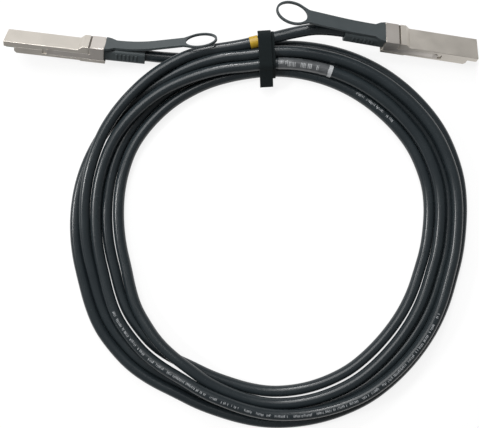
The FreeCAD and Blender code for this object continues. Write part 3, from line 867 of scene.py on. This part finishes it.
@dataclass
class Cable:
    """The jacketed cable, from boot to boot."""

    coil: TiedCoil = field(default_factory=TiedCoil)
    left_exit: float = 20 * MM
    right_exit: float = 17 * MM
    left_tail: tuple = ((-0.0335, -0.0152, 0.0049), (-0.0145, -0.0125, 0.0049))
    right_tail: tuple = ((-0.0065, -0.0080, 0.0127), (0.0090, -0.0046, 0.0132),
                         (0.0250, -0.0012, 0.0152), (0.0405, 0.0018, 0.0183))
    steps_between: int = 5
    roundness: int = 6
    line: list = field(default_factory=list)

    def route(self) -> list:
        """The control points of the whole cable.

        Returns:
            The points, from the left boot to the right one.
        """
        left_end = [LEFT_PLUG.behind(0), LEFT_PLUG.behind(self.left_exit)]
        right_end = [RIGHT_PLUG.behind(self.right_exit), RIGHT_PLUG.behind(0)]
        lead_in = left_end + [Vector(p) for p in self.left_tail]
        run_out = [Vector(p) for p in self.right_tail] + right_end
        return lead_in + self.coil.settle(lead_in, run_out) + run_out

    def build(self, palette: Palette) -> bpy.types.Object:
        """Make the cable's spline and remember its smooth line.

        Args:
            palette: the materials.

        Returns:
            The cable.
        """
        points = self.route()
        data = bpy.data.curves.new("copper_cable", "CURVE")
        data.dimensions = "3D"
        data.resolution_u = self.steps_between
        spline = data.splines.new("NURBS")
        spline.points.add(len(points) - 1)
        for corner, point in zip(spline.points, points):
            corner.co = (*point, 1.0)
        spline.order_u = 3
        spline.use_endpoint_u = True
        cable = link("copper_cable", data)
        self.line = [vertex.co.copy() for vertex in baked(cable).vertices]
        data.bevel_depth = CABLE_DIAMETER / 2
        data.bevel_resolution = self.roundness
        data.use_fill_caps = True
        clothe(cable, palette[Look.CABLE_JACKET])
        LOG.info("cable laid, %.3f m long", self.length())
        return cable

    def length(self) -> float:
        """Length of the smooth line."""
        return sum((b - a).length for a, b in zip(self.line, self.line[1:]))

    def stretch(self, near: Vector, length: float) -> list:
        """The points of the line within half a length of the place nearest to a point.

        Args:
            near: the point.
            length: length of the stretch.

        Returns:
            The stretch, cut to its exact ends.
        """
        travel = [0.0]
        for a, b in zip(self.line, self.line[1:]):
            travel.append(travel[-1] + (b - a).length)
        middle = travel[min(range(len(self.line)), key=lambda i: (self.line[i] - near).length)]
        return self.between(travel, middle - length / 2, middle + length / 2)

    def between(self, travel: list, start: float, end: float) -> list:
        """The line's points from one distance along it to another.

        Args:
            travel: distance along the line of each of its points.
            start: where the stretch begins.
            end: where it ends.

        Returns:
            The stretch, cut to its exact ends.
        """
        axes = list(zip(*self.line))
        first, last = (Vector([float(np.interp(distance, travel, axis)) for axis in axes])
                       for distance in (start, end))
        return [first] + [p for p, t in zip(self.line, travel) if start < t < end] + [last]


# --- what is on the cable -------------------------------------------------------------------


@dataclass(frozen=True)
class StrapPlane:
    """The upright plane of the strap: its middle, the way along the cable and the way across it."""

    middle: Vector
    along: Vector
    across: Vector


@dataclass
class HookAndLoopTie:
    """A fabric strap pulled round the bundle, overlapping on top, its free end left hanging."""

    middle: tuple = (17 * MM, -14 * MM, 0)
    width: float = 9.8 * MM
    thickness: float = 1.2 * MM
    rim: float = 0.25 * MM
    slack: float = 0.1 * MM
    lean: float = 3.5
    reach: float = 32 * MM       # how far from the middle a strand still belongs to the bundle
    shift: float = 1.2 * MM      # how far the two layers lie to each side of one another
    wrap_turn: tuple = (0, 357)
    overlap_turn: tuple = (30, 150)
    step: float = 3.0
    tail: float = 12.0 * MM
    tail_step: float = 1.5 * MM
    droop: float = 35.0
    crease: float = 40.0

    def strands(self, cable: Cable, plane: StrapPlane) -> list:
        """Find where the cable passes through the strap's plane.

        Args:
            cable: the cable, already laid.
            plane: the strap's plane.

        Returns:
            Offset and height of each strand.
        """
        found = []
        for a, b in zip(cable.line, cable.line[1:]):
            start, end = a - plane.middle, b - plane.middle
            before, after = start.dot(plane.along), end.dot(plane.along)
            if before != after and before * after <= 0 and abs(start.dot(plane.across)) < self.reach:
                point = a.lerp(b, before / (before - after)) - plane.middle
                found.append((point.dot(plane.across), point.z))
        return found

    def layer(self, strands: list, turn: tuple, lift: float) -> list:
        """Points of one layer round the bundle.

        Args:
            strands: offset and height of each strand.
            turn: first and last angle, in degrees, 0 away from the coil's centre and 90 straight up.
            lift: clearance to the strands.

        Returns:
            Offset, height and outward direction of each point.
        """
        found = []
        start, end = turn
        for place in range(int((end - start) / self.step) + 1):
            angle = math.radians(start + place * self.step)
            way = (math.cos(angle), math.sin(angle))
            u, z = max(strands, key=lambda s: s[0] * way[0] + s[1] * way[1])
            reach = CABLE_DIAMETER / 2 + lift
            found.append((u + way[0] * reach, max(z + way[1] * reach, lift - self.slack), way))
        return found

    def free_end(self, start: tuple) -> list:
        """Points of the free end, sloping down towards the coil's centre.

        Args:
            start: the last point of the outer layer.

        Returns:
            Offset, height and outward direction of each point.
        """
        u, z, _ = start
        slope = math.radians(self.droop)
        found, reach = [], 0.0
        while reach < self.tail:
            reach += self.tail_step
            found.append((u - math.cos(slope) * reach, z - math.sin(slope) * reach,
                          (-math.sin(slope), math.cos(slope))))
        return found

    def ribbon(self, name: str, path: list, shift: float, closed: bool,
               plane: StrapPlane) -> bpy.types.Object:
        """A flat band along a path in the strap's plane.

        Args:
            name: name of the piece.
            path: offset, height and outward direction of its inner face.
            shift: how far it lies along the cable.
            closed: whether its ends meet.
            plane: the strap's plane.

        Returns:
            The band.
        """
        half, rim, thick = self.width / 2, self.rim, self.thickness
        outline = [(0.0, -half), (0.0, half), (thick - rim, half), (thick, half - rim),
                   (thick, rim - half), (thick - rim, -half)]
        points, faces, count = [], [], len(outline)
        for u, z, way in path:
            for out, sideways in outline:
                point = plane.middle + plane.along * (sideways + shift) + plane.across * (u + way[0] * out)
                points.append(point + Vector((0, 0, max(z + way[1] * out, 0.0))))
        for place in range(len(path) if closed else len(path) - 1):
            row, after = place * count, (place + 1) % len(path) * count
            for k in range(count):
                n = (k + 1) % count
                faces.append((row + k, row + n, after + n, after + k))
        if not closed:
            faces += [tuple(range(count)), tuple(range(len(points) - count, len(points)))]
        band = mesh_piece(name, points, faces)
        band.data.set_sharp_from_angle(angle=math.radians(self.crease))
        return band

    def build(self, cable: Cable, palette: Palette) -> list:
        """Wrap the strap round the strands that pass through it.

        Args:
            cable: the cable, already laid.
            palette: the materials.

        Returns:
            The wrapped layer, and the outer layer with its free end.
        """
        turn = math.radians(self.lean)
        plane = StrapPlane(Vector(self.middle), Vector((math.cos(turn), math.sin(turn), 0)),
                           Vector((-math.sin(turn), math.cos(turn), 0)))
        strands = self.strands(cable, plane)
        inner = self.layer(strands, self.wrap_turn, self.slack)
        outer = self.layer(strands, self.overlap_turn, self.slack * 2 + self.thickness)
        outer += self.free_end(outer[-1])
        bands = [self.ribbon("strap_wrap", inner, self.shift, True, plane),
                 self.ribbon("strap_overlap", outer, -self.shift, False, plane)]
        for band in bands:
            clothe(band, palette[Look.TIE_FABRIC])
        LOG.info("strap round %d strands", len(strands))
        return bands


@dataclass
class Wrapping:
    """The yellow marker band, the clear label with its pale end, and a short patch of film."""

    marker_place: tuple = (8.6 * MM, -4.7 * MM, 13.2 * MM)
    marker_length: float = 6.4 * MM
    marker_thickness: float = 0.35 * MM
    label_place: tuple = (49.0 * MM, -21.2 * MM, 13.0 * MM)
    label_length: float = 35 * MM
    label_end_place: tuple = (64.2 * MM, -25.4 * MM, 13.0 * MM)
    label_end_length: float = 3 * MM
    label_end_thickness: float = 0.06 * MM
    patch_place: tuple = (28.5 * MM, -17.0 * MM, 13.0 * MM)
    patch_length: float = 6.5 * MM
    film_thickness: float = 0.2 * MM
    sides: int = 40
    crease: float = 50.0

    def sleeve(self, name: str, path: list, inner: float, outer: float) -> bpy.types.Object:
        """A thin ring round a stretch of cable, closed at both ends.

        Args:
            name: name of the piece.
            path: points along its middle.
            inner: inner radius.
            outer: outer radius.

        Returns:
            The ring.
        """
        points, faces = [], []
        for place, point in enumerate(path):
            ahead = path[min(place + 1, len(path) - 1)] - path[max(place - 1, 0)]
            side = ahead.cross(Vector((0, 0, 1))).normalized()
            up = side.cross(ahead).normalized()
            for radius in (outer, inner):
                for corner in range(self.sides):
                    angle = 2 * math.pi * corner / self.sides
                    points.append(point + (side * math.cos(angle) + up * math.sin(angle)) * radius)
        ring = 2 * self.sides
        for corner in range(self.sides):
            after = (corner + 1) % self.sides
            for wall in (0, self.sides):
                for row in range(0, (len(path) - 1) * ring, ring):
                    faces.append((row + wall + corner, row + wall + after,
                                  row + ring + wall + after, row + ring + wall + corner))
            for row in (0, (len(path) - 1) * ring):
                inside = row + self.sides
                faces.append((row + corner, row + after, inside + after, inside + corner))
        piece = mesh_piece(name, points, faces)
        piece.data.set_sharp_from_angle(angle=math.radians(self.crease))
        return piece

    def build(self, cable: Cable, palette: Palette) -> tuple:
        """Put the rings on the cable.

        Args:
            cable: the cable, already laid.
            palette: the materials.

        Returns:
            The marker band, the label, the patch and the label's end.
        """
        jacket = CABLE_DIAMETER / 2
        film = jacket + self.film_thickness
        rings = (
            ("marker_ring", self.marker_place, self.marker_length,
             jacket, jacket + self.marker_thickness, Look.MARKER_YELLOW),
            ("label_main", self.label_place, self.label_length, jacket, film, Look.LABEL_FILM),
            ("label_patch", self.patch_place, self.patch_length, jacket, film, Look.LABEL_FILM),
            ("label_end", self.label_end_place, self.label_end_length,
             film, film + self.label_end_thickness, Look.LABEL_END))
        made = []
        for name, place, length, inner, outer, look in rings:
            made.append(self.sleeve(name, cable.stretch(Vector(place), length), inner, outer))
            clothe(made[-1], palette[look])
            LOG.info("%s put on the cable", name)
        return tuple(made)


class TickTree(Wiring):
    """A node tree that sets ticks on a round cable, along its middle line, in groups like words."""

    SIZES = ("Radius", "Spacing", "Tick Length", "Tick Height", "Facing", "Word Spacing", "Word Fill")
    WORD_LENGTHS = (0.55, 1.0)
    STRETCH = (0.35, 1.0)
    TILT = 0.07
    LEFT_OUT = 0.12
    ROWS_ACROSS = 5

    def __init__(self) -> None:
        """Build the tree once."""
        super().__init__(bpy.data.node_groups.new("ticks_along_cable", "GeometryNodeTree"))
        self.socket("Line", "NodeSocketGeometry")
        for label in self.SIZES:
            self.socket(label, "NodeSocketFloat")
        self.socket("Seed", "NodeSocketInt")
        self.socket("Material", "NodeSocketMaterial")
        self.socket("Ticks", "NodeSocketGeometry", "OUTPUT")
        self.given = self.node("NodeGroupInput").outputs
        thinned, tangent = self.spots()
        ticks = self.node("GeometryNodeInstanceOnPoints", {
            "Points": thinned, "Instance": self.patch(), "Rotation": self.facing(tangent),
            "Scale": self.vector(self.random(self.STRETCH, 4), 1.0, 1.0)}).outputs[0]
        real = self.node("GeometryNodeRealizeInstances", {0: ticks}).outputs[0]
        inked = self.node("GeometryNodeSetMaterial", {"Geometry": real, "Material": self.given["Material"]})
        self.node("NodeGroupOutput", {"Ticks": inked.outputs[0]})

    def socket(self, label: str, kind: str, way: str = "INPUT") -> None:
        """Add a named socket to the tree's interface."""
        self.tree.interface.new_socket(label, in_out=way, socket_type=kind)

    def random(self, span: tuple, seed_step: int, by: object = None) -> bpy.types.NodeSocket:
        """A random value.

        Args:
            span: lowest and highest value.
            seed_step: added to the seed, so that each draw has its own.
            by: what picks the value, or None for the point's own number.

        Returns:
            The value.
        """
        feeds = {2: span[0], 3: span[1], "Seed": self.maths("ADD", self.given["Seed"], float(seed_step))}
        if by is not None:
            feeds["ID"] = by
        return self.node("FunctionNodeRandomValue", feeds, data_type="FLOAT").outputs[1]

    def patch(self) -> bpy.types.NodeSocket:
        """One tick: a flat patch bent round the cable's axis.

        Returns:
            The socket of its mesh.
        """
        radius = self.given["Radius"]
        patch = self.node("GeometryNodeMeshGrid", {
            "Size X": self.given["Tick Length"], "Size Y": self.given["Tick Height"],
            "Vertices X": 2, "Vertices Y": self.ROWS_ACROSS})
        place = self.node("ShaderNodeSeparateXYZ", {0: self.node("GeometryNodeInputPosition").outputs[0]})
        angle = self.maths("DIVIDE", place.outputs["Y"], radius)
        bent = self.vector(place.outputs["X"], self.maths("MULTIPLY", self.maths("SINE", angle), radius),
                           self.maths("MULTIPLY", self.maths("COSINE", angle), radius))
        return self.node("GeometryNodeSetPosition", {
            "Geometry": patch.outputs["Mesh"], "Position": bent}).outputs[0]

    def spots(self) -> tuple:
        """The places of the ticks along the line, some left out.

        Returns:
            The sockets of the places and of the line's direction at each.
        """
        curve = self.node("GeometryNodeMeshToCurve", {"Mesh": self.given["Line"]}).outputs[0]
        spots = self.node("GeometryNodeCurveToPoints", {"Curve": curve, "Length": self.given["Spacing"]},
                          mode="LENGTH")
        index, word_spacing = self.node("GeometryNodeInputIndex").outputs[0], self.given["Word Spacing"]
        word = self.maths("FLOOR", self.maths("DIVIDE", index, word_spacing))
        within = self.maths("FLOORED_MODULO", index, word_spacing)
        filled = self.maths("MULTIPLY", self.given["Word Fill"], self.random(self.WORD_LENGTHS, 1, word))
        gap = self.maths("GREATER_THAN", within, self.maths("MULTIPLY", word_spacing, filled))
        stray = self.maths("LESS_THAN", self.random((0.0, 1.0), 2), self.LEFT_OUT)
        thinned = self.node("GeometryNodeDeleteGeometry", {
            "Geometry": spots.outputs["Points"], "Selection": self.maths("MAXIMUM", gap, stray)},
            domain="POINT")
        return thinned.outputs[0], spots.outputs["Tangent"]

    def facing(self, tangent: bpy.types.NodeSocket) -> bpy.types.NodeSocket:
        """Rotations along the line, upright and then turned towards the viewer.

        Args:
            tangent: the line's direction.

        Returns:
            The socket of the rotations.
        """
        along = self.node("FunctionNodeAlignRotationToVector", {"Vector": tangent},
                          axis="X", pivot_axis="AUTO")
        upright = self.node("FunctionNodeAlignRotationToVector",
                            {"Rotation": along.outputs[0], "Vector": (0.0, 0.0, 1.0)},
                            axis="Z", pivot_axis="X")
        tilt = self.vector(self.maths("ADD", self.given["Facing"], self.random((-self.TILT, self.TILT), 3)))
        return self.node("FunctionNodeRotateRotation", {"Rotation": upright.outputs[0], "Rotate By": tilt},
                         rotation_space="LOCAL").outputs[0]


@dataclass(frozen=True)
class Print:
    """Generic ticks along a stretch of cable, in groups like words."""

    name: str
    near: tuple
    length: float
    radius: float
    look: Look = Look.PALE_PRINT
    spacing: float = 1.0 * MM
    tick_length: float = 0.75 * MM
    tick_height: float = 1.7 * MM
    facing: float = 0.0
    word_spacing: float = 9.0
    word_fill: float = 0.95
    seed: int = 3

    def build(self, cable: Cable, palette: Palette, tree: bpy.types.NodeTree) -> bpy.types.Object:
        """Bake the ticks into one mesh.

        Args:
            cable: the cable, already laid.
            palette: the materials.
            tree: the tree that sets ticks.

        Returns:
            The ticks.
        """
        path = cable.stretch(Vector(self.near), self.length)
        mesh = bpy.data.meshes.new(self.name)
        mesh.from_pydata([tuple(p) for p in path], [(i, i + 1) for i in range(len(path) - 1)], [])
        piece = link(self.name, mesh)
        modifier = piece.modifiers.new("ticks", "NODES")
        modifier.node_group = tree
        values = {"Radius": self.radius, "Spacing": self.spacing, "Tick Length": self.tick_length,
                  "Tick Height": self.tick_height, "Facing": self.facing, "Word Spacing": self.word_spacing,
                  "Word Fill": self.word_fill, "Seed": self.seed, "Material": palette[self.look]}
        for socket in tree.interface.items_tree:
            if socket.item_type == "SOCKET" and socket.in_out == "INPUT" and socket.name in values:
                modifier[socket.identifier] = values[socket.name]
        bake_modifiers(piece)
        LOG.info("%s: %d ticks", self.name, len(piece.data.polygons) // (TickTree.ROWS_ACROSS - 1))
        return piece


ON_JACKET = CABLE_DIAMETER / 2 + 0.04 * MM
ON_FILM = CABLE_DIAMETER / 2 + 0.24 * MM
PRINTS = (
    Print("label_bars", Wrapping.label_place, 32 * MM, ON_FILM, Look.LABEL_END, spacing=1.1 * MM,
          tick_length=0.65 * MM, tick_height=3.6 * MM, facing=0.25, word_spacing=14.0, word_fill=1.0,
          seed=11),
    Print("patch_bars", Wrapping.patch_place, 6 * MM, ON_FILM, Look.LABEL_END, spacing=0.9 * MM,
          tick_length=0.6 * MM, tick_height=2.6 * MM, seed=4),
    Print("jacket_print", (25 * MM, -288 * MM, 13 * MM), 300 * MM, ON_JACKET, seed=7),
    Print("jacket_print_right", (99 * MM, -50 * MM, 4 * MM), 34 * MM, ON_JACKET, seed=9),
)


# --- stage ----------------------------------------------------------------------------------


@dataclass(frozen=True)
class Lamp:
    """A soft square lamp: where it hangs, its side and its power in watts."""

    name: str
    place: tuple
    size: float
    power: float

    def build(self, aim: tuple) -> None:
        """Hang the lamp.

        Args:
            aim: the point it shines at.
        """
        data = bpy.data.lights.new(self.name, "AREA")
        data.size, data.energy = self.size, self.power
        lamp = link(self.name, data)
        lamp.location = self.place
        lamp.rotation_mode = "QUATERNION"
        lamp.rotation_quaternion = (Vector(aim) - Vector(self.place)).to_track_quat("-Z", "Y")


@dataclass
class Studio:
    """Floor, soft light and the camera."""

    camera_place: tuple = (-0.0033, -0.1330, 0.540)
    lens: float = 53.1
    sensor: float = 36.0
    near_clip: float = 0.01
    floor_size: float = 6.0
    floor_height: float = -0.2 * MM
    floor_tone: float = 0.80
    floor_glow: float = 1.04
    glow_share: float = 0.8      # how much of the floor's own glow the camera sees
    world_light: float = 0.27
    aim: tuple = (0.0, -0.13, 0.0)
    lamps: tuple = (Lamp("left_lamp", (-1.30, 0.0, 1.0), 0.22, 11.5),
                    Lamp("far_lamp", (-0.10, 1.15, 1.0), 0.22, 10.0),
                    Lamp("top_lamp", (-0.30, 0.40, 0.95), 0.8, 10.0))

    def camera(self) -> None:
        """A camera that looks straight down on the cable."""
        data = bpy.data.cameras.new("camera")
        data.sensor_width, data.lens, data.clip_start = self.sensor, self.lens, self.near_clip
        camera = link("camera", data)
        camera.location = self.camera_place
        bpy.context.scene.camera = camera

    def floor_material(self) -> bpy.types.Material:
        """Matt white that glows for the camera and in reflections, so that only a faint shadow stays.

        Returns:
            The material.
        """
        material = bpy.data.materials.new("pale_floor")
        material.use_nodes = True
        nodes, wiring = material.node_tree.nodes, Wiring(material.node_tree)
        shader = nodes["Principled BSDF"]
        wiring.feed(shader, {"Base Color": (self.floor_tone,) * 3 + (1,), "Roughness": 1.0,
                             "Specular IOR Level": 0.0})
        glow = wiring.node("ShaderNodeEmission", {"Strength": self.floor_glow})
        rays = wiring.node("ShaderNodeLightPath").outputs
        seen = wiring.maths("MAXIMUM", rays["Is Camera Ray"], rays["Is Glossy Ray"])
        mix = wiring.node("ShaderNodeMixShader", {
            0: wiring.maths("MULTIPLY", seen, self.glow_share), 1: shader.outputs[0], 2: glow.outputs[0]})
        wiring.feed(nodes["Material Output"], {"Surface": mix.outputs[0]})
        return material

    def floor(self) -> None:
        """A white floor that keeps a faint shadow."""
        half, low = self.floor_size / 2, self.floor_height
        corners = [(-half, -half, low), (half, -half, low), (half, half, low), (-half, half, low)]
        floor = mesh_piece("floor", corners, [(0, 1, 2, 3)], smooth=False)
        clothe(floor, self.floor_material())

    def build(self) -> None:
        """Set up the floor, the lamps, the world and the view transform."""
        self.floor()
        for lamp in self.lamps:
            lamp.build(self.aim)
        world = bpy.data.worlds.new("studio")
        world.use_nodes = True
        backdrop = world.node_tree.nodes["Background"]
        backdrop.inputs["Color"].default_value = (1.0, 1.0, 1.0, 1)
        backdrop.inputs["Strength"].default_value = self.world_light
        bpy.context.scene.world = world
        bpy.context.scene.view_settings.view_transform = "Standard"
        LOG.info("studio ready")


def main() -> None:
    """Build every piece in order and hang it on its body."""
    logging.basicConfig(level=logging.INFO, format="%(message)s")
    studio = Studio()
    studio.camera()
    palette = Palette()
    cable = Cable()
    jacket = cable.build(palette)
    wrap, overlap = HookAndLoopTie().build(cable, palette)
    marker, label, patch, label_end = Wrapping().build(cable, palette)
    tree = TickTree().tree
    prints = [ink.build(cable, palette, tree) for ink in PRINTS]
    on_cable = [wrap, overlap, marker, label, label_end, patch, *prints]
    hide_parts("hook_and_loop_tie")
    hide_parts("marker_band")
    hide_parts("wrap_label")
    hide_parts("coil", "left_cable_tail", "right_cable_tail")
    for piece in (jacket, *on_cable):
        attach(piece, Body.CABLE.value)
    tuple(LEFT_PLUG.behind(0))
    cable.length()
    for pose in (LEFT_PLUG, RIGHT_PLUG):
        plug = Plug(pose)
        plug.dress(palette)
        for piece in plug.trim(palette):
            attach(piece, Body.CABLE.value)
        tab = PullTab(pose).build(palette)
        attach(tab, pose.latch.value)
        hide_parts(pose.named("pull_tab"))
    studio.build()


if __name__ == "__main__":
    main()
